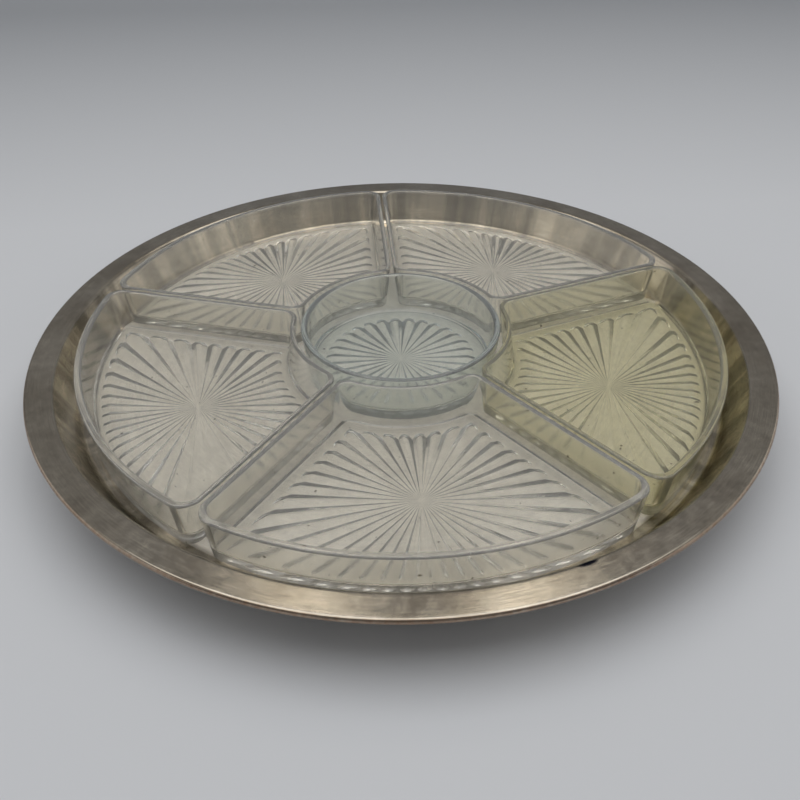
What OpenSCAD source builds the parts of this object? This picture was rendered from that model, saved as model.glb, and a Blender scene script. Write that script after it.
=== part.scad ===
// Lazy susan: a spun metal tray on a ball-bearing swivel, with five fan-shaped
// pressed-glass dishes set round a glass centre bowl.
// The origin is the middle of the circle that the foot pads stand on, +Z is up.

/* [Tray] */
// Outside diameter over the rolled edge
tray_d = 406; // [380:1:490]
// Thickness of the tray's sheet
tray_t = 0.8; // [0.6:0.1:1.2]
// Width of the flat band round the rim
band_w = 13; // [8:0.5:24]
// Depth of the well below the band
well_depth = 20.5; // [15:0.5:28]
// Radius of the rounded shoulder between the band and the well
shoulder_r = 2.5; // [1.5:0.1:4]
// How far the well's wall leans in from top to bottom
wall_lean = 10; // [4:0.5:14]
// Radius of the corner between the well's wall and floor
well_corner_r = 4; // [2:0.5:6]
// Outside diameter of the rolled edge
roll_d = 3.2; // [2.6:0.1:5]
// Play between the rolled edge and the wire inside it
wire_play = 0.05; // [0.02:0.01:0.1]

/* [Fan dishes] */
// Height of a dish
dish_h = 27; // [18:0.5:34]
// Room between the dishes' rims and the top of the well's wall
dish_slack = 11.7; // [9:0.1:20]
// Gap between two neighbouring rims
dish_gap = 1.2; // [1:0.1:5]
// Wall at the curved outer end
dish_outer_wall = 4; // [3:0.1:5]
// Wall along the straight sides
dish_side_wall = 3; // [2.4:0.1:4]
// Wall at the curved inner end
dish_inner_wall = 2.8; // [2.4:0.1:4]
// Thickness of the floor
dish_floor = 4.6; // [4:0.1:7]
// How far the walls lean in from rim to base
dish_draft = 3.2; // [1:0.1:4]
// Outside corner radius at the outer end
dish_outer_corner = 10; // [8:0.5:16]
// Outside corner radius at the inner end
dish_inner_corner = 9; // [8:0.5:12]
// Size of the sloped corner between a wall and the floor, inside
dish_fillet = 2; // [1:0.1:3]
// Size of the bevel round the base, outside
dish_foot_bevel = 1.2; // [0.5:0.1:2]

/* [Centre bowl] */
// Outside diameter at the rim
bowl_d = 112; // [93:1:120]
// Height of the bowl
bowl_h = 27.5; // [20:0.5:36]
// Wall thickness
bowl_wall = 3.6; // [3:0.1:5]
// Thickness of the floor
bowl_floor = 4.4; // [4:0.1:7]
// How far the wall leans in from rim to base
bowl_draft = 3; // [1:0.1:5]
// Gap between the bowl's rim and the dishes' inner ends
bowl_gap = 3; // [1.5:0.1:6]

/* [Sunburst under the glass floors] */
// Flutes under each fan dish
dish_flutes = 40; // [24:1:48]
// Flutes under the centre bowl
bowl_flutes = 30; // [20:1:40]
// Depth of a flute at its outer end
flute_depth = 2; // [0.8:0.1:2.4]
// Plain border between the flutes and the edge of a fan dish's base
flute_border = 6.5; // [3:0.1:8]
// Plain border between the flutes and the edge of the bowl's base
bowl_flute_border = 9.5; // [4:0.1:14]
// How far the ridges between the flutes are kept off the tray
ridge_lift = 0.25; // [0.1:0.05:0.5]

/* [Bearing] */
// Diameter of a bearing ball
ball_d = 5; // [4:0.5:8]
// Number of balls
ball_n = 24; // [12:1:30]
// Diameter of the circle through the balls' centres
ball_circle_d = 100; // [90:1:120]
// Play between a ball and its groove or its hole in the cage
ball_play = 0.08; // [0.04:0.01:0.1]
// Thickness of the two races' sheet
race_t = 0.8; // [0.6:0.1:1.2]
// Thickness of the ball cage
cage_t = 1; // [0.8:0.1:1.4]
// Width of the flat lip on each side of a groove
lip_w = 1.6; // [1.2:0.1:3]
// Width of the fixing flange round each race
flange_w = 15; // [12:0.5:20]

/* [Pivot] */
// Diameter of the pivot stud
stud_d = 8; // [6:0.5:10]
// Radial play between the stud and its bush
pivot_play = 0.05; // [0.02:0.01:0.1]
// Wall of the bush
bush_wall = 1.5; // [1:0.1:2]
// Thickness of the bush's flange
bush_flange_t = 0.8; // [0.6:0.1:1.2]
// End play of the bush between its shoulder and its washer
end_play = 0.1; // [0.05:0.05:0.3]
// Height of the stud's shoulder
shoulder_h = 0.9; // [0.6:0.1:1.5]
// Thickness of the stud's washer
washer_t = 0.7; // [0.5:0.1:1]
// Height of the stud's nut
stud_nut_h = 2.4; // [2:0.1:3]

/* [Foot] */
// Diameter of the pressed foot
foot_d = 200; // [180:1:260]
// Thickness of the foot's sheet
foot_t = 1; // [0.8:0.1:1.5]
// Height of the foot from its flat rim to its raised middle
foot_h = 5.4; // [5:0.1:12]
// Width of the foot's flat rim
foot_rim_w = 17; // [15:0.5:24]
// Diameter of a foot pad
pad_d = 13; // [10:0.5:14]
// Height of a foot pad under the foot
pad_h = 3; // [2.5:0.1:6]
// Number of pads, rivets and weld studs
fixing_n = 4; // [3:1:6]
// Diameter of a rivet's shank
rivet_d = 4; // [3:0.5:5]
// Diameter of a weld stud's thread
weld_stud_d = 4; // [3:0.5:5]
// Diameter of the hole that a socket key reaches the nuts through
access_d = 12; // [10:0.5:13]

/* [Hidden] */

$fn = 96;
eps = 0.01;

// Heights, from the table up
foot_top = pad_h + foot_h;
groove_r = ball_d / 2 + ball_play;
ball_z = foot_top + race_t + groove_r;
tray_under = ball_z + groove_r + race_t;
well_z = tray_under + tray_t;
rim_z = well_z + well_depth;

// Radii of the tray
roll_r = roll_d / 2;
well_top_r = tray_d / 2 - roll_r - band_w;
ball_circle_r = ball_circle_d / 2;

// Radii of the dishes and the bowl
sector = 360 / 5;
dish_r = well_top_r - dish_slack;
dish_inner_r = bowl_d / 2 + bowl_gap;
burst_r = (dish_r + dish_inner_r) / 2;

// Bearing: the lips stop short of the middle plane so that the cage runs between them
lip_z = cage_t / 2 + 0.5;
lip_r = groove_r + race_t + lip_w;
flange_r = ball_circle_r + lip_r + flange_w;
rivet_r = flange_r - rivet_d * 1.5;
weld_stud_r = rivet_r - rivet_d;
rivet_head_h = 0.9;
rivet_head_r = rivet_d * 0.8;

// Pivot: everything on the stud is stacked from the foot's top
stud_r = stud_d / 2;
bush_r = stud_r + pivot_play + bush_wall;
bush_z = foot_top + shoulder_h + end_play;
hub_z = bush_z + bush_flange_t;
hub_r = ball_circle_r - lip_r - 5;
bush_top = hub_z + race_t + 0.2;
washer_z = bush_top + end_play;
nut_z = washer_z + washer_t;

// Foot: its flat rim, and the slope up to its raised middle
foot_r = foot_d / 2;
foot_slope_w = foot_h * 1.6;
foot_lip_h = pad_h * 0.6;
foot_plateau_r = foot_r - foot_rim_w - foot_slope_w;
pad_stem_r = 2;
pad_circle_r = foot_r - foot_t - foot_rim_w / 2;
nut_h = 2.4;
nut_across = weld_stud_d * 1.75;
stud_end = 0.4;

// ---------- outlines ----------

// Points along an arc about c, from angle a0 to angle a1 in n steps
function arc(c, r, a0, a1, n) = [for (i = [0:n]) let (a = a0 + (a1 - a0) * i / n) c + r * [cos(a), sin(a)]];

function unit(v) = v / norm(v);
function left_of(v) = [-v.y, v.x];
function along(p, i) = unit(p[min(i + 1, len(p) - 1)] - p[min(i, len(p) - 2)]);

// A line that keeps the distance d to the left of the line p
function beside(p, d) = [for (i = [0:len(p) - 1])
    let (a = along(p, max(i - 1, 0)), b = along(p, i), n = unit(left_of(a) + left_of(b)))
    p[i] + n * d / (n * left_of(a))];

// Sheet of thickness t below the line p, spun round the Z axis
module spun_sheet(p, t) {
    q = beside(p, -t);
    rotate_extrude() polygon(concat(p, [for (i = [len(q) - 1:-1:0]) q[i]]));
}

// Arc that rounds the corner b between the lines a-b and b-c
function rounded(a, b, c, r, n) =
    let (u = unit(a - b), v = unit(c - b), half = acos(u * v) / 2, m = b + unit(u + v) * r / sin(half),
         p = b + u * r / tan(half), q = b + v * r / tan(half), a0 = atan2(p.y - m.y, p.x - m.x),
         turn = atan2(q.y - m.y, q.x - m.x) - a0,
         swing = turn > 180 ? turn - 360 : turn < -180 ? turn + 360 : turn)
    arc(m, r, a0, a0 + swing, n);

// The tray's upper face from the middle of the floor, over the shoulder and round the rolled edge
function tray_line() =
    let (floor_end = [well_top_r - wall_lean, well_z], top = [well_top_r, rim_z],
         roll_c = [tray_d / 2 - roll_r, rim_z - roll_r])
    concat([[0, well_z]],
           rounded([0, well_z], floor_end, top, well_corner_r, 6),
           rounded(floor_end, top, [roll_c.x, rim_z], shoulder_r, 6),
           arc(roll_c, roll_r, 90, -190, 24));

// The foot's upper face, from the stud's hole to the turned-down edge
function foot_line() =
    let (rim_top = pad_h + foot_t, slope_top = [foot_plateau_r, foot_top],
         slope_end = [foot_plateau_r + foot_slope_w, rim_top], edge = [foot_r, rim_top],
         bottom = [foot_r, pad_h - foot_lip_h])
    concat([[stud_r, foot_top]],
           rounded([stud_r, foot_top], slope_top, slope_end, 3, 4),
           rounded(slope_top, slope_end, edge, 3, 4),
           rounded(slope_end, edge, bottom, 1.6, 5),
           [bottom]);

// Outline of a fan dish that is centred on +X. ri and ro are its end radii, g is the distance from
// its sides to the sector's edges, ci and co are its corner radii.
function fan(ri, ro, g, ci, co) =
    let (half = sector / 2,
         a_out = half - asin((g + co) / (ro - co)), a_in = half - asin((g + ci) / (ri + ci)),
         c_out = (ro - co) * [cos(a_out), sin(a_out)], c_in = (ri + ci) * [cos(a_in), sin(a_in)],
         upper = concat(arc(c_out, co, a_out, half + 90, 6), arc(c_in, ci, half + 90, 180 + a_in, 5)),
         inner = arc([0, 0], ri, a_in, -a_in, 12), outer = arc([0, 0], ro, -a_out, a_out, 24),
         last = len(upper) - 1)
    concat([for (i = [1:len(outer) - 2]) outer[i]], upper,
           [for (i = [1:len(inner) - 2]) inner[i]],
           [for (i = [last:-1:0]) [upper[i].x, -upper[i].y]]);

// The same outline with its outer end, sides and inner end moved in by wo, ws and wi
function fan_inset(wo, ws, wi) =
    fan(dish_inner_r + wi, dish_r - wo, dish_gap / 2 + ws,
        max(dish_inner_corner - ws, 1), max(dish_outer_corner - wo, 1));

// Distance from point c to the outline along direction a
function reach(outline, c, a) =
    let (d = [cos(a), sin(a)], n = len(outline))
    min([for (i = [0:n - 1])
        let (p = outline[i] - c, e = outline[(i + 1) % n] - outline[i], k = cross(d, e),
             t = cross(p, e) / k, s = cross(p, d) / k)
        if (abs(k) > 1e-9 && t > 0 && s >= -1e-6 && s <= 1 + 1e-6) t]);

// ---------- shared shapes ----------

// A closed skin over a stack of loops, each [outline, height], from the lowest outside loop
// over the rim to the floor inside
module skin(loops) {
    n = len(loops[0][0]);
    points = [for (l = loops) for (p = l[0]) [p.x, p.y, l[1]]];
    last = (len(loops) - 1) * n;
    bands = [for (k = [0:len(loops) - 2]) for (i = [0:n - 1])
        let (a = k * n + i, b = k * n + (i + 1) % n)
        for (f = [[a, a + n, b], [b, a + n, b + n]]) f];
    polyhedron(points, concat([[for (i = [0:n - 1]) i]], bands, [[for (i = [n - 1:-1:0]) last + i]]));
}

// The sunburst as a cutter: n flutes from the point c to the outline, deepest at their outer ends
module sunburst(c, outline, n) {
    steps = 2 * n;
    ring = [for (i = [0:steps - 1]) let (a = 180 * i / n, r = reach(outline, c, a)) c + r * [cos(a), sin(a)]];
    top = [for (i = [0:steps - 1]) [ring[i].x, ring[i].y, ridge_lift + (i % 2) * flute_depth]];
    low = [for (p = ring) [p.x, p.y, -1]];
    faces = [for (i = [0:steps - 1]) let (j = (i + 1) % steps)
        for (f = [[2 * steps, j, i], [i, j, steps + j], [i, steps + j, steps + i],
                  [2 * steps + 1, steps + i, steps + j]]) f];
    polyhedron(concat(top, low, [[c.x, c.y, ridge_lift], [c.x, c.y, -1]]), faces);
}

// A fan dish that is centred on +X and stands on z = 0
module fan_shape() {
    lean = dish_draft / dish_h;
    foot_in = dish_draft - lean * dish_foot_bevel;
    floor_in = lean * (dish_h - dish_floor - dish_fillet);
    difference() {
        skin([[fan_inset(dish_draft + dish_foot_bevel, dish_draft + dish_foot_bevel, dish_draft + dish_foot_bevel), 0],
              [fan_inset(foot_in, foot_in, foot_in), dish_foot_bevel],
              [fan_inset(0, 0, 0), dish_h],
              [fan_inset(dish_outer_wall, dish_side_wall, dish_inner_wall), dish_h],
              [fan_inset(dish_outer_wall + floor_in, dish_side_wall + floor_in, dish_inner_wall + floor_in),
               dish_floor + dish_fillet],
              [fan_inset(dish_outer_wall + floor_in + dish_fillet, dish_side_wall + floor_in + dish_fillet,
                         dish_inner_wall + floor_in + dish_fillet), dish_floor]]);
        border = dish_draft + dish_foot_bevel + flute_border;
        sunburst([burst_r, 0], fan_inset(border, border, border), dish_flutes);
    }
}

// The fan dish in its place in the tray, k sectors round from the front one
module fan_dish(k) {
    translate([0, 0, well_z]) rotate(-90 + k * sector) fan_shape();
}

module round_about(n, r, a = 0) {
    for (i = [0:n - 1]) rotate(a + i * 360 / n) translate([r, 0, 0]) children();
}

// Half of the bearing below the balls' middle plane: groove, lips and riser down to the flange
module race_section(inner_r) {
    lip_top = ball_z - lip_z;
    riser_r = ball_circle_r + lip_r;
    difference() {
        union() {
            intersection() {
                translate([ball_circle_r, ball_z]) circle(groove_r + race_t);
                translate([ball_circle_r - lip_r, foot_top]) square([2 * lip_r, lip_top - foot_top]);
            }
            translate([inner_r, lip_top - race_t]) square([riser_r - inner_r, race_t]);
            translate([riser_r - race_t, foot_top]) square([race_t, lip_top - foot_top]);
            translate([riser_r - race_t, foot_top]) square([flange_r - riser_r + race_t, race_t]);
        }
        translate([ball_circle_r, ball_z]) circle(groove_r);
    }
}

// ---------- foot and fixed half of the bearing ----------

module foot() {
    color("dimgray") difference() {
        spun_sheet(foot_line(), foot_t);
        round_about(fixing_n, pad_circle_r, 45) translate([0, 0, pad_h - 1]) cylinder(r = pad_stem_r, h = foot_t + 2);
        round_about(fixing_n, rivet_r) translate([0, 0, foot_top - foot_t - 1]) cylinder(d = rivet_d, h = foot_t + 2);
        rotate(45) translate([weld_stud_r, 0, foot_top - foot_t - 1]) cylinder(d = access_d, h = foot_t + 2);
    }
}

module foot_pads() {
    color([0.12, 0.12, 0.12]) round_about(fixing_n, pad_circle_r, 45) {
        cylinder(d = pad_d, h = pad_h);
        cylinder(r = pad_stem_r, h = pad_h + foot_t + 0.5);
        translate([0, 0, pad_h + foot_t]) cylinder(r = pad_stem_r + 1, h = 1);
    }
}

module lower_race() {
    color("silver") difference() {
        rotate_extrude() race_section(ball_circle_r - lip_r);
        round_about(fixing_n, rivet_r) translate([0, 0, foot_top - 1]) cylinder(d = rivet_d, h = race_t + 2);
        rotate(45) translate([weld_stud_r, 0, foot_top - 1]) cylinder(d = access_d, h = race_t + 2);
    }
}

module race_rivets() {
    color("gainsboro") round_about(fixing_n, rivet_r) {
        translate([0, 0, foot_top - foot_t - rivet_head_h]) cylinder(r = rivet_head_r, h = rivet_head_h);
        translate([0, 0, foot_top - foot_t - eps]) cylinder(d = rivet_d, h = foot_t + race_t + 2 * eps);
        translate([0, 0, foot_top + race_t]) cylinder(r = rivet_head_r, h = rivet_head_h);
    }
}

module pivot_stud() {
    color("gainsboro") {
        translate([0, 0, foot_top - foot_t - 2]) cylinder(r = stud_r + 3, h = 2);
        translate([0, 0, foot_top - foot_t - eps]) cylinder(r = stud_r, h = nut_z + stud_nut_h - foot_top + foot_t);
        translate([0, 0, foot_top]) cylinder(r = stud_r + 2.5, h = shoulder_h);
    }
}

module stud_washer() {
    color("silver") translate([0, 0, washer_z]) difference() {
        cylinder(r = bush_r + 2.5, h = washer_t);
        translate([0, 0, -1]) cylinder(r = stud_r, h = washer_t + 2);
    }
}

module stud_nut() {
    color("silver") translate([0, 0, nut_z]) difference() {
        cylinder(d = stud_d * 1.8, h = stud_nut_h, $fn = 6);
        translate([0, 0, -1]) cylinder(r = stud_r, h = stud_nut_h + 2);
    }
}

// ---------- balls and cage ----------

module ball_cage() {
    cage_w = lip_r - race_t - 0.6;
    color("goldenrod") translate([0, 0, ball_z - cage_t / 2]) difference() {
        cylinder(r = ball_circle_r + cage_w, h = cage_t);
        translate([0, 0, -1]) cylinder(r = ball_circle_r - cage_w, h = cage_t + 2);
        round_about(ball_n, ball_circle_r) translate([0, 0, -1]) cylinder(r = groove_r, h = cage_t + 2);
    }
}

module bearing_balls() {
    color("lightsteelblue") round_about(ball_n, ball_circle_r) translate([0, 0, ball_z]) sphere(d = ball_d);
}

// ---------- tray and turning half of the bearing ----------

module tray() {
    color([0.55, 0.52, 0.47]) spun_sheet(tray_line(), tray_t);
}

module rim_wire() {
    color("peru") rotate_extrude() translate([tray_d / 2 - roll_r, rim_z - roll_r])
        circle(roll_r - tray_t - wire_play);
}

module upper_race() {
    inner_lip_r = ball_circle_r - lip_r;
    color("silver") difference() {
        union() {
            translate([0, 0, 2 * ball_z]) mirror([0, 0, 1]) rotate_extrude() race_section(hub_r - race_t);
            rotate_extrude() {
                translate([hub_r - race_t, hub_z]) square([race_t, ball_z + lip_z - hub_z + eps]);
                translate([bush_r, hub_z]) square([hub_r - bush_r, race_t]);
            }
        }
        round_about(fixing_n, weld_stud_r) translate([0, 0, tray_under - race_t - 1])
            cylinder(d = weld_stud_d + 0.3, h = race_t + 2);
    }
}

module pivot_bush() {
    color("ivory") rotate_extrude() {
        translate([stud_r + pivot_play, bush_z]) square([bush_wall + 2.5, bush_flange_t]);
        translate([stud_r + pivot_play, bush_z]) square([bush_wall, bush_top - bush_z]);
    }
}

module weld_studs() {
    color("peru") round_about(fixing_n, weld_stud_r)
        translate([0, 0, tray_under - race_t - nut_h - stud_end])
            cylinder(d = weld_stud_d, h = race_t + nut_h + stud_end);
}

module weld_stud_nuts() {
    color("silver") round_about(fixing_n, weld_stud_r) translate([0, 0, tray_under - race_t - nut_h])
        difference() {
            cylinder(d = nut_across / cos(30), h = nut_h, $fn = 6);
            translate([0, 0, -1]) cylinder(d = weld_stud_d, h = nut_h + 2);
        }
}

// ---------- glass ----------

module dish_front() { color([0.86, 0.87, 0.78]) fan_dish(0); }
module dish_right() { color([0.87, 0.87, 0.62]) fan_dish(1); }
module dish_rear_right() { color([0.86, 0.87, 0.78]) fan_dish(2); }
module dish_rear_left() { color([0.86, 0.87, 0.78]) fan_dish(3); }
module dish_left() { color([0.86, 0.87, 0.78]) fan_dish(4); }

module centre_bowl() {
    rim_r = bowl_d / 2;
    base_r = rim_r - bowl_draft;
    lean = bowl_draft / bowl_h;
    floor_r = rim_r - bowl_wall - lean * (bowl_h - bowl_floor);
    border_r = base_r - dish_foot_bevel - bowl_flute_border;
    color([0.8, 0.88, 0.9]) translate([0, 0, well_z]) difference() {
        rotate_extrude() polygon([[0, 0], [base_r - dish_foot_bevel, 0], [base_r, dish_foot_bevel], [rim_r, bowl_h],
                                  [rim_r - bowl_wall, bowl_h], [floor_r, bowl_floor + dish_fillet],
                                  [floor_r - dish_fillet, bowl_floor], [0, bowl_floor]]);
        sunburst([0, 0], arc([0, 0], border_r, 0, 360 - 180 / bowl_flutes, 2 * bowl_flutes - 1), bowl_flutes);
    }
}

foot();
foot_pads();
lower_race();
race_rivets();
pivot_stud();
stud_washer();
stud_nut();
ball_cage();
bearing_balls();
tray();
rim_wire();
upper_race();
pivot_bush();
weld_studs();
weld_stud_nuts();
dish_front();
dish_right();
dish_rear_right();
dish_rear_left();
dish_left();
centre_bowl();
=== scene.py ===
# %% [markdown]
# # Lazy susan turntable
# The object is a spun, silver-plated tray that turns on a hidden ball bearing and carries five fan-shaped
# pressed-glass dishes round a glass bowl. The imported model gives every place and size, and these cells dress
# it. The metal parts of the bearing keep their shapes and get finishes. The tray and the glass are made again
# with more detail than the solids hold: a rolled edge, rounded rims and a sunburst pressed under each floor.

import math

import bmesh
import bpy
from mathutils import Matrix, Vector


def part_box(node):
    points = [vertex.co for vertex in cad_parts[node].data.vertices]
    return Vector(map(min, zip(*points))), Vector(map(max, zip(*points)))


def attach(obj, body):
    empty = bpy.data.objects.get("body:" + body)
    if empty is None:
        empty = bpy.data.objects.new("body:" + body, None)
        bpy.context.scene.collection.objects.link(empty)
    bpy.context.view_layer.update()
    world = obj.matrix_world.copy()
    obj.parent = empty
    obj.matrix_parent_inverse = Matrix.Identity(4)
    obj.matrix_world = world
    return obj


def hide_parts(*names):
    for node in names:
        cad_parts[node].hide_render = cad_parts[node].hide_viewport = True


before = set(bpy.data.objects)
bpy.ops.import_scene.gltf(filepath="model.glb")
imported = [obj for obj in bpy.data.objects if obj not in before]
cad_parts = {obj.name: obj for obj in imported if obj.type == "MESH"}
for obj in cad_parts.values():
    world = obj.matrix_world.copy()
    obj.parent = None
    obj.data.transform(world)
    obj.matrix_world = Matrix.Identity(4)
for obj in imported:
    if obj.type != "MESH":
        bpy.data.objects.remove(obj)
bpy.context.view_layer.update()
MM = 0.001

# %% [markdown]
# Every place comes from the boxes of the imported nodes. The tray's box gives its radius and the height of its
# rim, a dish's box gives where its base stands, and the front dish reaches out to its radius along -Y.

# %% Sizes from the model
tray_low, tray_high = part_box("tray")
front_low, front_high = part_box("dish_front")
bowl_low, bowl_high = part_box("centre_bowl")
tray_r = tray_high.x
rim_z = tray_high.z
well_z = front_low.z
dish_h = front_high.z - front_low.z
dish_r = -front_low.y
bowl_r = (bowl_high.x - bowl_low.x) / 2
bowl_h = bowl_high.z - bowl_low.z
print(f"tray radius {tray_r / MM:.1f} mm, rim at {rim_z / MM:.1f} mm, dishes out to {dish_r / MM:.1f} mm")

# %% [markdown]
# ## Small helpers
# A colour is written as the hex value that a painter would pick, which is sRGB, and Blender's sockets want
# linear light, so one function turns it. One more adds a node, sets its sockets and links its inputs, and two
# turn a value's range into another. The rest start a material with its shader, and turn a finished bmesh into
# an object that rides on a body.

# %% Helpers
def colour(text):
    """Linear RGBA from an sRGB hex value such as '#c8beae'."""
    parts = [int(text[i:i + 2], 16) / 255 for i in (1, 3, 5)]
    linear = [p / 12.92 if p <= 0.04045 else ((p + 0.055) / 1.055) ** 2.4 for p in parts]
    return (*linear, 1.0)


def add(tree, kind, links=None, **settings):
    """Adds a node. settings are its properties or, for names that it has no property of, its sockets."""
    made = tree.nodes.new(kind)
    for name, value in settings.items():
        if hasattr(made, name):
            setattr(made, name, value)
        else:
            made.inputs[name.replace("_", " ")].default_value = value
    for socket, source in (links or {}).items():
        tree.links.new(source, made.inputs[socket])
    return made


def new_material(name, **sockets):
    """A material with its Principled shader's constant sockets set, and the shader and tree to add to."""
    mat = bpy.data.materials.new(name)
    mat.use_nodes = True
    shader = mat.node_tree.nodes["Principled BSDF"]
    for key, value in sockets.items():
        shader.inputs[key.replace("_", " ")].default_value = value
    return mat, mat.node_tree, shader


def ranged(tree, value, before, after, kind="LINEAR"):
    """A value that goes from the first range to the second, and stops at its ends."""
    made = add(tree, "ShaderNodeMapRange", {"Value": value}, interpolation_type=kind)
    made.inputs["From Min"].default_value, made.inputs["From Max"].default_value = before
    made.inputs["To Min"].default_value, made.inputs["To Max"].default_value = after
    return made.outputs["Result"]


def eased(tree, value, before, after):
    """The same, with a soft start and end, as a worn edge has."""
    return ranged(tree, value, before, after, kind="SMOOTHSTEP")


def finish_piece(bm, name, body, mat, slot, *replaced):
    """Makes the object at the origin, gives it its material and says what it rides on and stands for."""
    mesh = bpy.data.meshes.new(name)
    bm.to_mesh(mesh)
    bm.free()
    piece = bpy.data.objects.new(name, mesh)
    bpy.context.scene.collection.objects.link(piece)
    piece.data.materials.append(mat)
    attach(piece, body)
    if replaced:
        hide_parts(*replaced)
    print(f"{name}: {len(mesh.vertices)} vertices, {len(mesh.polygons)} faces")
    return piece


# %% [markdown]
# ## Camera
# The turntable is seen from the front, a little to the left, and from about 33 degrees above its rim. The
# camera aims a few degrees under the middle of the rim, so that the object sits above the picture's centre.

# %% Camera
VIEW_DISTANCE = 0.5097
VIEW_ELEVATION = math.radians(33.22)
VIEW_AZIMUTH = math.radians(-94.6)
AIM_DOWN = math.radians(4.30)
AIM_LEFT = math.radians(0.06)
ROLL = math.radians(-0.25)

target = Vector((0, 0, rim_z))
away = Vector((math.cos(VIEW_ELEVATION) * math.cos(VIEW_AZIMUTH),
               math.cos(VIEW_ELEVATION) * math.sin(VIEW_AZIMUTH), math.sin(VIEW_ELEVATION)))
lens = bpy.data.cameras.new("camera")
lens.sensor_width = 36
lens.lens = 40.5
lens.clip_start = 0.01
camera = bpy.data.objects.new("camera", lens)
turn = away.to_track_quat("Z", "Y").to_matrix().to_4x4()
aim = Matrix.Rotation(AIM_LEFT, 4, "Y") @ Matrix.Rotation(-AIM_DOWN, 4, "X") @ Matrix.Rotation(ROLL, 4, "Z")
camera.matrix_world = Matrix.Translation(target + away * VIEW_DISTANCE) @ turn @ aim
bpy.context.scene.collection.objects.link(camera)
bpy.context.scene.camera = camera
bpy.context.scene.view_settings.view_transform = "Standard"
print("camera at", [round(c, 3) for c in camera.matrix_world.translation])

# %% [markdown]
# ## Floor and light
# The object stands on a pale sheet that curves up behind it, in the soft light of a light tent. Polished and
# plated metal shows nothing but its surroundings, so the tent's bright top and its greyer back matter as much
# as the lamps. The sheet is one strip that is spun up into its curve and then extruded.

# %% Floor and backdrop
bm = bmesh.new()
front_edge = bmesh.ops.create_vert(bm, co=(-2.2, -1.6, 0))["vert"][0]
run = bmesh.ops.extrude_vert_indiv(bm, verts=[front_edge])["verts"][0]
run.co = Vector((-2.2, 0.85, 0))
bend = bmesh.ops.spin(bm, geom=[run], cent=(-2.2, 0.85, 0.45), axis=(1, 0, 0), angle=math.radians(90),
                      steps=24)
bend_end = [v for v in bend["geom_last"] if isinstance(v, bmesh.types.BMVert)]
top = bmesh.ops.extrude_vert_indiv(bm, verts=bend_end)
top["verts"][0].co.z += 0.15
sheet = bmesh.ops.extrude_edge_only(bm, edges=bm.edges[:])
far_side = [v for v in sheet["geom"] if isinstance(v, bmesh.types.BMVert)]
bmesh.ops.translate(bm, verts=far_side, vec=(4.4, 0, 0))
bmesh.ops.recalc_face_normals(bm, faces=bm.faces[:])
for face in bm.faces:
    face.smooth = True
backdrop_mesh = bpy.data.meshes.new("backdrop")
bm.to_mesh(backdrop_mesh)
bm.free()
backdrop = bpy.data.objects.new("backdrop", backdrop_mesh)
bpy.context.scene.collection.objects.link(backdrop)
# Backdrop paper: matt, with painted shade that turns it a darker grey towards the back, and a faint tooth.
paper, tree, shader = new_material("matt_paper_painted_back_shade", Roughness=0.9, Specular_IOR_Level=0.2)
coords = add(tree, "ShaderNodeTexCoord").outputs["Object"]
depth_in = add(tree, "ShaderNodeSeparateXYZ", {"Vector": coords}).outputs["Y"]
# Painted shade: the paper's colour goes from a light grey at the front to a darker grey at the back.
painted_back_shade = ranged(tree, depth_in, (0.22, 0.86), (0, 1))
paper_with_painted_shade = add(tree, "ShaderNodeMix", {0: painted_back_shade}, data_type="RGBA")
paper_with_painted_shade.inputs[6].default_value = colour("#d5d7da")
paper_with_painted_shade.inputs[7].default_value = colour("#b3b6ba")
tree.links.new(paper_with_painted_shade.outputs[2], shader.inputs["Base Color"])
tooth = add(tree, "ShaderNodeTexNoise", {"Vector": coords}, Scale=900.0, Detail=2.0)
bump = add(tree, "ShaderNodeBump", {"Height": tooth.outputs["Fac"]}, Strength=0.2, Distance=0.05 * MM)
tree.links.new(bump.outputs["Normal"], shader.inputs["Normal"])
backdrop.data.materials.append(paper)

world = bpy.data.worlds.new("tent")
world.use_nodes = True
world.node_tree.nodes["Background"].inputs["Color"].default_value = (0.23, 0.23, 0.235, 1)
world.node_tree.nodes["Background"].inputs["Strength"].default_value = 1.0
bpy.context.scene.world = world


def soft_lamp(name, at, towards, size, watts, tint="#ffffff"):
    """A square panel of light that faces a point."""
    data = bpy.data.lights.new(name, "AREA")
    data.shape = "RECTANGLE"
    data.size, data.size_y = size
    data.energy = watts
    data.color = colour(tint)[:3]
    lamp = bpy.data.objects.new(name, data)
    back = (Vector(at) - Vector(towards)).to_track_quat("Z", "Y").to_matrix().to_4x4()
    lamp.matrix_world = Matrix.Translation(at) @ back
    bpy.context.scene.collection.objects.link(lamp)
    return lamp


soft_lamp("tent_top", (0, -0.1, 1.2), (0, -0.1, 0), (1.6, 1.2), 9.3)
soft_lamp("tent_left", (-1.3, 0, 0.5), (0, 0.1, 0.1), (1.5, 0.8), 1.8)
soft_lamp("tent_right", (1.3, 0, 0.5), (0, 0.1, 0.1), (1.5, 0.8), 1.8)
soft_lamp("lamp_left", (-0.12, 0.58, 0.955), (0, 0, 0), (0.10, 0.22), 0.19, "#fff6e6")
soft_lamp("lamp_right", (0.246, 0.54, 0.955), (0, 0, 0), (0.10, 0.22), 0.19, "#fff6e6")
bpy.context.scene.cycles.max_bounces = 24
bpy.context.scene.cycles.transmission_bounces = 24
print("stage ready")

# %% [markdown]
# ## Silver plate
# The tray is nickel silver or brass that was spun on a lathe, electroplated with silver and brushed satin as
# it turned. The brushing leaves fine rings round the centre that stretch every highlight outwards, years of
# use have dulled the plate to a warm grey, and on the rolled edge the coppery base metal shows through. The
# rings are a noise that reads only the distance from the centre, so it is the same all round, and a
# second, finer one breaks them up. Real brushing is about 0.1 mm wide; it is drawn at 0.5 mm to show. The
# well's floor is hidden from polishing cloths by the dishes, so a pale, matt film of dried polish covers it.

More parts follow.
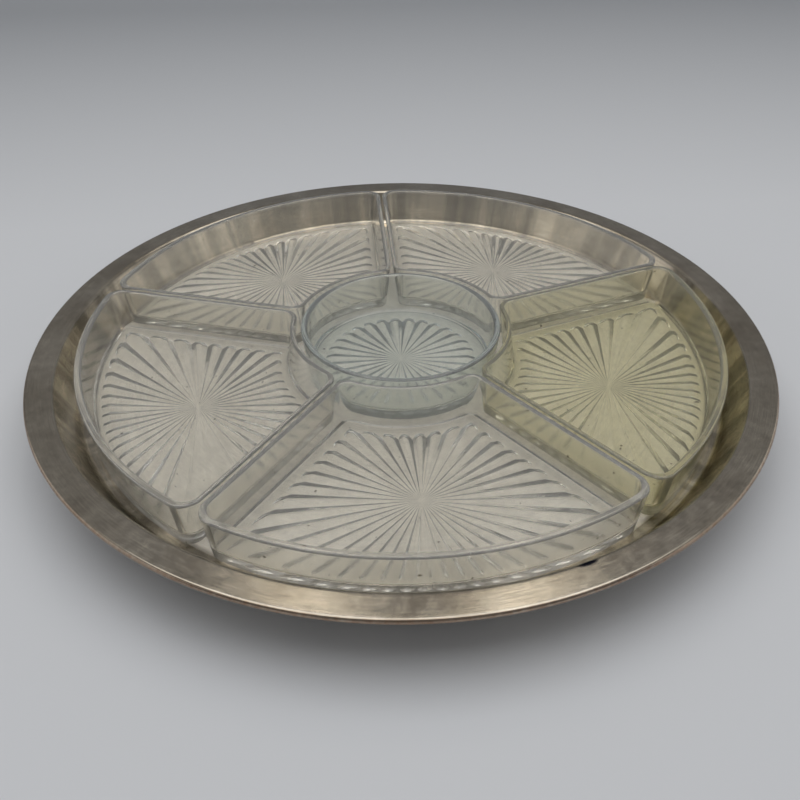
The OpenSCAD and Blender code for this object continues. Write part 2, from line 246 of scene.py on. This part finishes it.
# %% Silver plate
def round_axis(tree, coords):
    """A point's distance from the turntable's axis, in metres, and the unit vector that points to it."""
    flat = add(tree, "ShaderNodeVectorMath", {0: coords}, operation="MULTIPLY")
    flat.inputs[1].default_value = (1, 1, 0)
    way = add(tree, "ShaderNodeVectorMath", {0: flat.outputs["Vector"]}, operation="NORMALIZE")
    far = add(tree, "ShaderNodeVectorMath", {0: flat.outputs["Vector"]}, operation="LENGTH")
    return far.outputs["Value"], way.outputs["Vector"]


# The stain is drawn on the top of the sheet only: it is squashed in height, so that it ends inside the metal.
STAIN_ANGLE = math.radians(-70.7)
STAIN_AT = Matrix.Rotation(STAIN_ANGLE, 3, "Z") @ Vector((tray_r - 13.4 * MM, 0, rim_z + 0.3 * MM))

silver, tree, shader = new_material("silver_plate_satin_brushed")
coords = add(tree, "ShaderNodeTexCoord").outputs["Object"]
radius, heading = round_axis(tree, coords)
rings = add(tree, "ShaderNodeTexNoise", {"W": radius}, noise_dimensions="1D", Scale=2000.0, Detail=3.0,
            Roughness=0.7)
angle_parts = add(tree, "ShaderNodeSeparateXYZ", {"Vector": coords})
turn_angle = add(tree, "ShaderNodeMath", {0: angle_parts.outputs["Y"], 1: angle_parts.outputs["X"]},
                 operation="ARCTAN2").outputs["Value"]
around = add(tree, "ShaderNodeMath", {0: turn_angle}, operation="MULTIPLY")
around.inputs[1].default_value = 0.004
brush_point = add(tree, "ShaderNodeCombineXYZ", {"X": radius, "Y": around.outputs["Value"]})
brushing = add(tree, "ShaderNodeTexNoise", {"Vector": brush_point.outputs["Vector"]}, Scale=2400.0,
               Detail=4.0, Roughness=0.65)
patches = add(tree, "ShaderNodeTexNoise", {"Vector": coords}, Scale=28.0, Detail=5.0, Roughness=0.6)
freckles = add(tree, "ShaderNodeTexNoise", {"Vector": coords}, Scale=420.0, Detail=2.0, Roughness=0.5)
tarnish = add(tree, "ShaderNodeValToRGB", {"Fac": patches.outputs["Fac"]})
tarnish.color_ramp.elements[0].position = 0.32
tarnish.color_ramp.elements[0].color = colour("#a49b8c")
tarnish.color_ramp.elements[1].position = 0.70
tarnish.color_ramp.elements[1].color = colour("#c6beaf")
print("brushing and tarnish ready")

# %% [markdown]
# The colour is built up in the order that the tray got it. Tarnish comes first, then the film on the well's
# floor, the wear on the edge, the shade of the brushing and the smudges of hands. Broad light and dark
# streaks on the sloping wall are painted reflections and shade, and one dark stain sits at the inner edge of
# the band.

# %% Wear and painted reflections on the silver plate
edge_wear = eased(tree, radius, (tray_r - 1.6 * MM, tray_r - 0.2 * MM), (0, 1))
wear_patches = add(tree, "ShaderNodeMath", {0: edge_wear, 1: freckles.outputs["Fac"]}, operation="MULTIPLY")
in_well = eased(tree, radius, (tray_r - 34 * MM, tray_r - 30 * MM), (1.0, 0.0))
# The film lies on the upper side of the sheet, never on the underside.
on_top = ranged(tree, angle_parts.outputs["Z"], (well_z - 0.6 * MM, well_z - 0.2 * MM), (0, 1))
film = add(tree, "ShaderNodeMath", {0: in_well, 1: on_top}, operation="MULTIPLY").outputs["Value"]
kept = add(tree, "ShaderNodeMix", {0: film, 6: tarnish.outputs["Color"]}, data_type="RGBA")
kept.inputs[7].default_value = colour("#fffaf0")
worn = add(tree, "ShaderNodeMix", {0: wear_patches.outputs["Value"], 6: kept.outputs[2]}, data_type="RGBA")
worn.inputs[7].default_value = colour("#8a6448")
grain_shade = ranged(tree, brushing.outputs["Fac"], (0.3, 0.7), (0.80, 1.12))
brushed = add(tree, "ShaderNodeVectorMath", {0: worn.outputs[2], "Scale": grain_shade}, operation="SCALE")
smudges = add(tree, "ShaderNodeTexNoise", {"Vector": coords}, Scale=170.0, Detail=6.0, Roughness=0.75)
smudge_shade = ranged(tree, smudges.outputs["Fac"], (0.3, 0.7), (0.88, 1.12))
handled = add(tree, "ShaderNodeVectorMath", {0: brushed.outputs["Vector"], "Scale": smudge_shade},
              operation="SCALE")
# Painted reflections and shade: broad light and dark streaks that go round the sloping wall, put into its
# colour.
on_wall = eased(tree, radius, (tray_r - 16 * MM, tray_r - 14 * MM), (1.0, 0.0))
painted_reflection_noise = add(tree, "ShaderNodeTexNoise", {"Vector": heading}, Scale=9.0, Detail=5.0, Roughness=0.6)
painted_reflection_shade = eased(tree, painted_reflection_noise.outputs["Fac"], (0.38, 0.62), (0.78, 1.7))
only_wall = add(tree, "ShaderNodeMath", {0: on_wall, 1: in_well}, operation="SUBTRACT")
painted_reflection_mix = add(tree, "ShaderNodeMix", {0: only_wall.outputs["Value"], 3: painted_reflection_shade}, data_type="FLOAT")
painted_reflection_mix.inputs[2].default_value = 1.0
with_painted_reflections = add(tree, "ShaderNodeVectorMath", {0: handled.outputs["Vector"], "Scale": painted_reflection_mix.outputs[0]},
               operation="SCALE")
stain_place = add(tree, "ShaderNodeMapping", {"Vector": coords}, vector_type="TEXTURE", Location=STAIN_AT,
                  Rotation=(0, 0, STAIN_ANGLE), Scale=(0.8, 2.6, 0.4))
stain_from = add(tree, "ShaderNodeVectorMath", {0: stain_place.outputs["Vector"]}, operation="LENGTH")
stain = eased(tree, stain_from.outputs["Value"], (1.3 * MM, 2.6 * MM), (1.0, 0.0))
stained = add(tree, "ShaderNodeMix", {0: stain, 6: with_painted_reflections.outputs["Vector"]}, data_type="RGBA")
stained.inputs[7].default_value = colour("#20222c")
tree.links.new(stained.outputs[2], shader.inputs["Base Color"])
rough = ranged(tree, film, (0, 1), (0.10, 0.80))
filmed = ranged(tree, film, (0, 1), (1.0, 0.1))
tree.links.new(filmed, shader.inputs["Metallic"])
uneven = add(tree, "ShaderNodeMath", {0: smudges.outputs["Fac"], 2: rough}, operation="MULTIPLY_ADD")
uneven.inputs[1].default_value = 0.22
tree.links.new(uneven.outputs["Value"], shader.inputs["Roughness"])
bump = add(tree, "ShaderNodeBump", {"Height": brushing.outputs["Fac"]}, Strength=0.4, Distance=0.06 * MM)
ring_bump = add(tree, "ShaderNodeBump", {"Height": rings.outputs["Fac"], "Normal": bump.outputs["Normal"]},
                Strength=0.2, Distance=0.05 * MM)
tree.links.new(ring_bump.outputs["Normal"], shader.inputs["Normal"])
print("silver plate ready")

# %% [markdown]
# ## Tray
# A spun tray is one sheet with a section that is the same all round, so it is made as a metal spinner makes
# it: the section is drawn once and turned about the axis. The section's corners are rounded while it is still
# a line, the rolled edge is the end of the line turned round the wire, and the sheet gets its thickness last.

# %% Tray
BAND = 13 * MM
WALL_LEAN = 10 * MM
SHEET = 0.8 * MM
ROLL_R = 1.6 * MM
well_top = tray_r - ROLL_R - BAND

bm = bmesh.new()
middle = bmesh.ops.create_vert(bm, co=(0, 0, well_z))["vert"][0]
line = [middle]
for place in ((well_top - WALL_LEAN, well_z), (well_top, rim_z), (tray_r - ROLL_R, rim_z)):
    step = bmesh.ops.extrude_vert_indiv(bm, verts=[line[-1]])["verts"][0]
    step.co = Vector((place[0], 0, place[1]))
    line.append(step)
lean = math.atan2(rim_z - well_z, WALL_LEAN)
for corner, corner_r, parts in ((line[1], 4 * MM, 6), (line[2], 2.5 * MM, 8)):
    bmesh.ops.bevel(bm, geom=[corner], offset=corner_r * math.tan(lean / 2), segments=parts, profile=0.5,
                    affect="VERTICES", material=-1)
straight = [e for e in bm.edges if e.calc_length() > 5 * MM]
bmesh.ops.subdivide_edges(bm, edges=straight, cuts=7)
edge_end = max(bm.verts, key=lambda v: v.co.x)
bmesh.ops.spin(bm, geom=[edge_end], cent=(tray_r - ROLL_R, 0, rim_z - ROLL_R), axis=(0, 1, 0),
               angle=math.radians(280), steps=28)
print("section points:", len(bm.verts), "lowest", round(min(v.co.z for v in bm.verts) / MM, 2))
bmesh.ops.spin(bm, geom=bm.verts[:] + bm.edges[:], cent=(0, 0, 0), axis=(0, 0, 1), angle=math.radians(360),
               steps=256, use_merge=True)
bmesh.ops.remove_doubles(bm, verts=bm.verts[:], dist=0.001 * MM)
bmesh.ops.recalc_face_normals(bm, faces=bm.faces[:])
floor_face = min(bm.faces, key=lambda f: f.calc_center_median().xy.length)
if floor_face.normal.z < 0:
    bmesh.ops.reverse_faces(bm, faces=bm.faces[:])
for face in bm.faces:
    face.smooth = True
tray = finish_piece(bm, "tray_sheet", "tray", silver, "silver_plate", "tray")
thick = tray.modifiers.new("sheet", "SOLIDIFY")
thick.thickness = SHEET
thick.offset = -1
thick.use_even_offset = True

# %% [markdown]
# ## Pressed glass
# Pressed soda-lime glass bends light by about 1.52. It is clear, but a trace of iron in the batch tints it,
# and the tint grows with the way through the glass, so it shows on the rims and the long walls. A volume that
# absorbs light gives exactly that, where a coloured surface would tint thin and thick alike. Years of washing
# have dulled the skin a little, which is the roughness and the few parts in a hundred that don't pass light.
# The rims and the undersides are scuffed whiter, because that is where the dishes knock and slide. One dish
# has turned yellower than the others, and the bowl is a cooler glass from another batch.

# %% Glass
def pressed_glass(name, skin_tint, tint, density, rough_low, rough_high, height):
    mat, tree, shader = new_material(name, IOR=1.52)
    coords = add(tree, "ShaderNodeTexCoord").outputs["Object"]
    grime = add(tree, "ShaderNodeTexNoise", {"Vector": coords}, Scale=330.0, Detail=1.0, Roughness=0.5)
    specks = ranged(tree, grime.outputs["Fac"], (0.775, 0.80), (0, 1))
    skin_colour = add(tree, "ShaderNodeMix", {0: specks}, data_type="RGBA")
    skin_colour.inputs[6].default_value = colour(skin_tint)
    skin_colour.inputs[7].default_value = colour("#4a4030")
    tree.links.new(skin_colour.outputs[2], shader.inputs["Base Color"])
    haze = add(tree, "ShaderNodeTexNoise", {"Vector": coords}, Scale=60.0, Detail=4.0, Roughness=0.6)
    skin = ranged(tree, haze.outputs["Fac"], (0.3, 0.7), (rough_low, rough_high))
    tree.links.new(skin, shader.inputs["Roughness"])
    level = add(tree, "ShaderNodeSeparateXYZ", {"Vector": coords}).outputs["Z"]
    rim = eased(tree, level, (well_z + height - 2.4 * MM, well_z + height - 0.6 * MM), (0.93, 0.86))
    under = eased(tree, level, (well_z + 2.3 * MM, well_z + 3.2 * MM), (0.87, 0.93))
    clearness = add(tree, "ShaderNodeMath", {0: rim, 1: under},
                    operation="MINIMUM")
    tree.links.new(clearness.outputs["Value"], shader.inputs["Transmission Weight"])
    ripple = add(tree, "ShaderNodeTexNoise", {"Vector": coords}, Scale=110.0, Detail=1.0, Roughness=0.4)
    bump = add(tree, "ShaderNodeBump", {"Height": ripple.outputs["Fac"]}, Strength=0.12, Distance=0.3 * MM)
    tree.links.new(bump.outputs["Normal"], shader.inputs["Normal"])
    tint_volume = add(tree, "ShaderNodeVolumeAbsorption", Color=colour(tint), Density=density)
    tree.links.new(tint_volume.outputs["Volume"], tree.nodes["Material Output"].inputs["Volume"])
    return mat


clear_glass = pressed_glass("pressed_glass_pale_green", "#fffefa", "#d8d0a6", 6.0, 0.06, 0.15, dish_h)
yellow_glass = pressed_glass("pressed_glass_yellowed", "#fefdf0", "#dccf4c", 22.0, 0.06, 0.15, dish_h)
cool_glass = pressed_glass("pressed_glass_cool", "#fcfefb", "#a4c4cc", 14.0, 0.05, 0.14, bowl_h)

# %% [markdown]
# ## Fan dishes
# Each dish is a fifth of a ring with rounded corners and walls that lean out from its base, so that it comes
# out of its mould. Its outline at any height is a walk made of four turns: round the outer end, round a
# corner, straight along the side, and round the inner end. Half the outline is walked with spin and then
# mirrored. Loops at the heights where the section changes are bridged into a skin.

# %% Outline of a fan dish
SECTOR = math.radians(72)
dish_gap = 1.2 * MM
inner_end = bowl_r + 3 * MM


def last_vert(result):
    return [g for g in result["geom_last"] if isinstance(g, bmesh.types.BMVert)][0]


def nearest_vert(bm, point):
    return min(bm.verts, key=lambda v: (v.co - point).length)


def fan_loop(bm, z, outer, side, inner, corner_out=10 * MM, corner_in=9 * MM):
    """Edges of the fan outline at height z, moved in by outer, side and inner at its ends and sides."""
    ro, ri, gap = dish_r - outer, inner_end + inner, dish_gap / 2 + side
    co, ci = max(corner_out - side, 1 * MM), max(corner_in - side, 1 * MM)
    half = SECTOR / 2
    at_out = half - math.asin((gap + co) / (ro - co))
    at_in = half - math.asin((gap + ci) / (ri + ci))
    c_out = Vector((math.cos(at_out), math.sin(at_out), 0)) * (ro - co)
    c_in = Vector((math.cos(at_in), math.sin(at_in), 0)) * (ri + ci)
    before = set(bm.edges)
    v = bmesh.ops.create_vert(bm, co=(ro, 0, z))["vert"][0]
    v = last_vert(bmesh.ops.spin(bm, geom=[v], cent=(0, 0, z), axis=(0, 0, 1), angle=at_out, steps=22))
    v = last_vert(bmesh.ops.spin(bm, geom=[v], cent=(c_out.x, c_out.y, z), axis=(0, 0, 1),
                                 angle=half + math.radians(90) - at_out, steps=10))
    side_end = bmesh.ops.extrude_vert_indiv(bm, verts=[v])
    corner = c_in + Vector((math.cos(half + math.radians(90)), math.sin(half + math.radians(90)), 0)) * ci
    side_end["verts"][0].co = corner.xy.to_3d() + Vector((0, 0, z))
    bmesh.ops.subdivide_edges(bm, edges=side_end["edges"], cuts=11)
    v = nearest_vert(bm, corner.xy.to_3d() + Vector((0, 0, z)))
    v = last_vert(bmesh.ops.spin(bm, geom=[v], cent=(c_in.x, c_in.y, z), axis=(0, 0, 1),
                                 angle=math.radians(90) + at_in - half, steps=8))
    bmesh.ops.spin(bm, geom=[v], cent=(0, 0, z), axis=(0, 0, 1), angle=-at_in, steps=12)
    half_line = [e for e in bm.edges if e not in before]
    ends = {v for e in half_line for v in e.verts}
    bmesh.ops.mirror(bm, geom=half_line + list(ends), axis="Y", merge_dist=0.01 * MM)
    return [e for e in bm.edges if e not in before]


bm = bmesh.new()
test = fan_loop(bm, 0, 0, 0, 0)
print("edges in an outline:", len(test), "closed:", all(len(v.link_edges) == 2 for v in bm.verts))
bm.free()

# %% [markdown]
# ## Sunburst
# Under each floor is a star of scooped flutes that run from one point to the edge, deeper as they go, and each
# ends in a rounded leaf. It is sliced like a pie: planes through the centre cut the floor into equal angles,
# four to a flute. The first of the four stays down as the sharp ridge between two flutes, and the other three
# are lifted into the scoop. Near its end each raised cut is split, so that the scoop closes like the bow of a
# boat, and near the hub all are split again, so that the flutes keep their slope down to a small flat button.

# %% Sunburst
DISH_FLUTES = 40
BOWL_FLUTES = 30
FLUTE_DEPTH = 2.0 * MM
RIDGE_LIFT = 0.15 * MM
FOOT_STEP = 0.2 * MM
TIP = 4.5 * MM
BOW = 4.0 * MM
BUTTON = 2.5 * MM
SCOOP = (0.0, 0.58, 1.0, 0.58)
LEAF = (1.0, 0.134, 0.0, 0.134)


def split_spoke(hub, end, from_end):
    """Splits the edge between hub and end, at a distance from end. Gives the new vertex."""
    spoke = next(e for e in end.link_edges if e.other_vert(end) is hub)
    return bmesh.utils.edge_split(spoke, end, from_end / spoke.calc_length())[1]


def join_round(bm, verts):
    for one, two in zip(verts, verts[1:] + verts[:1]):
        if not any(e.other_vert(one) is two for e in one.link_edges):
            bmesh.ops.connect_vert_pair(bm, verts=[one, two])


def sunburst(bm, outline, centre, flutes, z):
    """Cuts the flat face inside the outline into flutes. Gives the edges of its rim and of its ridges."""
    inside = [bmesh.ops.contextual_create(bm, geom=outline)["faces"][0]]
    centre = Vector((centre[0], centre[1], z))
    cuts = 4 * flutes
    for i in range(cuts // 2):
        a = 2 * math.pi * i / cuts
        around = list({v for f in inside for v in f.verts}) + list({e for f in inside for e in f.edges})
        cut = bmesh.ops.bisect_plane(bm, geom=inside + around, dist=0.001 * MM, plane_co=centre,
                                     plane_no=(-math.sin(a), math.cos(a), 0))
        inside = [g for g in cut["geom"] if isinstance(g, bmesh.types.BMFace)]
    hub = nearest_vert(bm, centre)
    on_cut = {e.other_vert(hub) for e in hub.link_edges}
    bmesh.ops.dissolve_verts(bm, verts=[v for v in {v for f in inside for v in f.verts}
                                        if v is not hub and v not in on_cut])
    hub = nearest_vert(bm, centre)
    step = 2 * math.pi / cuts

    def turn_number(v):
        return round(math.atan2(v.co.y - centre.y, v.co.x - centre.x) / step) % cuts

    ends = sorted((e.other_vert(hub) for e in hub.link_edges), key=turn_number)
    rim = [e for f in hub.link_faces for e in f.edges if hub not in e.verts]
    deep, button = [], []
    for i, end in enumerate(ends):
        end.co += (centre - end.co).normalized() * TIP * LEAF[i % 4]
        bow = split_spoke(hub, end, BOW) if i % 4 else end
        bow.co.z = z + RIDGE_LIFT + FLUTE_DEPTH * SCOOP[i % 4]
        deep.append(bow)
    hub.co.z = z + RIDGE_LIFT
    for bow in deep:
        button.append(split_spoke(hub, bow, (hub.co - bow.co).length - BUTTON))
    join_round(bm, deep)
    join_round(bm, button)
    ridges = [e for bow, near in zip(deep[::4], button[::4])
              for e in bow.link_edges if e.other_vert(bow) is near]
    return rim, ridges


# %% Fan dish
def fan_dish(name, sector, mat, slot):
    draft, outer_w, side_w, inner_w, floor_t = 3.2 * MM, 4 * MM, 3 * MM, 2.8 * MM, 4.6 * MM
    foot, border = draft + 0.2 * MM, draft + 1.2 * MM + 5 * MM
    lean = draft / dish_h
    low_in = lean * (dish_h - floor_t)
    bm = bmesh.new()
    star_line = fan_loop(bm, FOOT_STEP, border, border, border)
    rim, ridges = sunburst(bm, star_line, ((dish_r + inner_end) / 2, 0), DISH_FLUTES, FOOT_STEP)
    border_line = fan_loop(bm, FOOT_STEP, border - 1.5 * MM, border - 1.5 * MM, border - 1.5 * MM)
    bmesh.ops.triangle_fill(bm, use_beauty=True, edges=rim + border_line)
    stack = [border_line,
             fan_loop(bm, 0, foot, foot, foot),
             fan_loop(bm, dish_h, 0, 0, 0),
             fan_loop(bm, dish_h, outer_w, side_w, inner_w),
             fan_loop(bm, floor_t, outer_w + low_in, side_w + low_in, inner_w + low_in)]
    for lower, upper in zip(stack, stack[1:]):
        bmesh.ops.bridge_loops(bm, edges=lower + upper)
    bmesh.ops.contextual_create(bm, geom=stack[-1])
    for loop, width, parts in ((stack[1], 1.2 * MM, 3), (stack[2], 1.3 * MM, 4), (stack[3], 1.3 * MM, 4),
                               (stack[4], 2.6 * MM, 4)):
        live = [e for e in loop if e.is_valid]
        bmesh.ops.bevel(bm, geom=live, offset=width, segments=parts, profile=0.5, affect="EDGES",
                        material=-1)
    bmesh.ops.recalc_face_normals(bm, faces=bm.faces[:])
    for f in bm.faces:
        f.smooth = True
    for e in rim + ridges:
        e.smooth = False
    bmesh.ops.translate(bm, verts=bm.verts[:], vec=(0, 0, well_z))
    place = Matrix.Rotation(-math.pi / 2 + sector * SECTOR, 3, "Z")
    bmesh.ops.rotate(bm, verts=bm.verts[:], cent=(0, 0, 0), matrix=place)
    open_edges = sum(not e.is_manifold for e in bm.edges)
    print(name, "open edges:", open_edges, "volume", round(bm.calc_volume() * 1e6, 1), "cm3")
    piece = finish_piece(bm, name + "_glass", name, mat, slot, name)
    even = piece.modifiers.new("even_shading", "WEIGHTED_NORMAL")
    even.keep_sharp = True
    even.weight = 80
    return piece


for sector, (name, mat, slot) in enumerate((("dish_front", clear_glass, "glass_clear"),
                                            ("dish_right", yellow_glass, "glass_yellow"),
                                            ("dish_rear_right", clear_glass, "glass_clear"),
                                            ("dish_rear_left", clear_glass, "glass_clear"),
                                            ("dish_left", clear_glass, "glass_clear"))):
    fan_dish(name, sector, mat, slot)

# %% [markdown]
# ## Centre bowl
# The bowl is round, so its section is drawn once and spun, like the tray's, and the same sunburst with fewer
# flutes closes its underside.

# %% Centre bowl
def ring(bm, r, z):
    return bmesh.ops.create_circle(bm, segments=128, radius=r, matrix=Matrix.Translation((0, 0, z)))["verts"]


def ring_edges(verts):
    return list({e for v in verts for e in v.link_edges if all(u in verts for u in e.verts)})


bm = bmesh.new()
draft, wall, floor_t, foot_in, border = 3 * MM, 3.6 * MM, 4.4 * MM, 0.3 * MM, 9.5 * MM
lean = draft / bowl_h
base_r = bowl_r - draft - foot_in
star_line = ring_edges(ring(bm, base_r - border, FOOT_STEP))
rim, ridges = sunburst(bm, star_line, (0, 0), BOWL_FLUTES, FOOT_STEP)
border_line = ring_edges(ring(bm, base_r - border + 1.5 * MM, FOOT_STEP))
bmesh.ops.triangle_fill(bm, use_beauty=True, edges=rim + border_line)
stack = [border_line, ring_edges(ring(bm, base_r, 0)), ring_edges(ring(bm, bowl_r, bowl_h)),
         ring_edges(ring(bm, bowl_r - wall, bowl_h)),
         ring_edges(ring(bm, bowl_r - wall - lean * (bowl_h - floor_t), floor_t))]
for lower, upper in zip(stack, stack[1:]):
    bmesh.ops.bridge_loops(bm, edges=lower + upper)
bmesh.ops.contextual_create(bm, geom=stack[-1])
for loop, width, parts in ((stack[1], 1.2 * MM, 3), (stack[2], 1.5 * MM, 4), (stack[3], 1.5 * MM, 4),
                           (stack[4], 3 * MM, 5)):
    live = [e for e in loop if e.is_valid]
    bmesh.ops.bevel(bm, geom=live, offset=width, segments=parts, profile=0.5, affect="EDGES", material=-1)
bmesh.ops.recalc_face_normals(bm, faces=bm.faces[:])
for f in bm.faces:
    f.smooth = True
for e in rim + ridges:
    e.smooth = False
bmesh.ops.translate(bm, verts=bm.verts[:], vec=(0, 0, well_z))
print("bowl open edges:", sum(not e.is_manifold for e in bm.edges))
bowl = finish_piece(bm, "centre_bowl_glass", "centre_bowl", cool_glass, "glass_blue", "centre_bowl")
even = bowl.modifiers.new("even_shading", "WEIGHTED_NORMAL")
even.keep_sharp = True
even.weight = 80

# %% [markdown]
# ## Metal, rubber and nylon under the tray
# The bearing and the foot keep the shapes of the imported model, and each gets the finish of how it was made.
# One function gives them all their clouded colour, uneven roughness and fine grain. It reads the noise along
# stretched coordinates where the making left a direction, such as the draw lines along a wire.

# %% Finishes under the tray
def made_finish(name, dark, light, cloud, rough, grain, depth, metallic=1.0, stretch=(1, 1, 1)):
    """Clouds between two colours at cloud per metre, and a bump of grain per metre, depth deep in mm."""
    mat, tree, shader = new_material(name, Metallic=metallic)
    coords = add(tree, "ShaderNodeTexCoord").outputs["Object"]
    drawn = add(tree, "ShaderNodeVectorMath", {0: coords}, operation="MULTIPLY")
    drawn.inputs[1].default_value = stretch
    clouds = add(tree, "ShaderNodeTexNoise", {"Vector": coords}, Scale=cloud, Detail=6.0, Roughness=0.62)
    shade = add(tree, "ShaderNodeValToRGB", {"Fac": clouds.outputs["Fac"]})
    shade.color_ramp.elements[0].position = 0.34
    shade.color_ramp.elements[0].color = colour(dark)
    shade.color_ramp.elements[1].position = 0.68
    shade.color_ramp.elements[1].color = colour(light)
    tree.links.new(shade.outputs["Color"], shader.inputs["Base Color"])
    uneven = ranged(tree, clouds.outputs["Fac"], (0, 1), (rough[1], rough[0]))
    tree.links.new(uneven, shader.inputs["Roughness"])
    fine = add(tree, "ShaderNodeTexNoise", {"Vector": drawn.outputs["Vector"]}, Scale=grain, Detail=3.0)
    bump = add(tree, "ShaderNodeBump", {"Height": fine.outputs["Fac"]}, Strength=0.5, Distance=depth * MM)
    tree.links.new(bump.outputs["Normal"], shader.inputs["Normal"])
    return mat


def dress(mat, *nodes):
    """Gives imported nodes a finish. Their shapes and places stay as they are."""
    for node in nodes:
        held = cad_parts[node].data.materials
        held.clear()
        held.append(mat)
    print(mat.name, "on", ", ".join(nodes))


# Pressed sheet steel, zinc plated: a cool grey with cloudy spangle, a little dull where it was handled.
dress(made_finish("zinc_plated_pressed_steel", "#8d9094", "#b9bdc0", 90, (0.26, 0.48), 1500, 0.03),
      "foot", "lower_race", "upper_race")
# Turned and headed small parts in the same plating: tighter clouds and shallow marks from the tool round them.
dress(made_finish("zinc_plated_turned_steel", "#84878b", "#bcc0c4", 420, (0.22, 0.42), 2200, 0.02,
                  stretch=(1, 1, 4)),
      "race_rivets", "pivot_stud", "stud_washer", "stud_nut", "weld_stud_nuts")
# Ground and polished chrome steel: nearly a mirror, with only a faint smear of old grease.
dress(made_finish("polished_bearing_steel", "#c2c4c8", "#dcdee0", 260, (0.05, 0.16), 1800, 0.004),
      "bearing_balls")
# Stamped brass, tumbled smooth: warm yellow, browner where it has tarnished.
dress(made_finish("stamped_tumbled_brass", "#8f6c34", "#c9a55c", 160, (0.24, 0.5), 1300, 0.03), "ball_cage")
# Copper-flashed drawn wire and stud stock: reddish, with draw lines that run along it.
dress(made_finish("copper_flashed_drawn_wire", "#8a5238", "#c47f58", 240, (0.28, 0.5), 2400, 0.03,
                  stretch=(4, 4, 0.3)),
      "rim_wire", "weld_studs")
# Moulded black rubber: dark, dry and matt, with the sparkle-free skin of a blasted mould and grey dust on it.
dress(made_finish("moulded_black_rubber", "#151515", "#2b2a29", 300, (0.62, 0.82), 2600, 0.06, metallic=0.0),
      "foot_pads")
# Natural nylon, injection moulded: creamy, waxy and a little uneven in its gloss.
dress(made_finish("moulded_natural_nylon", "#d9d0b4", "#ebe5d0", 350, (0.36, 0.52), 1700, 0.02, metallic=0.0),
      "pivot_bush")

# %% [markdown]
# ## Last step
# The view layer is updated, so that every object's place is current.

# %% Finish
bpy.context.view_layer.update()
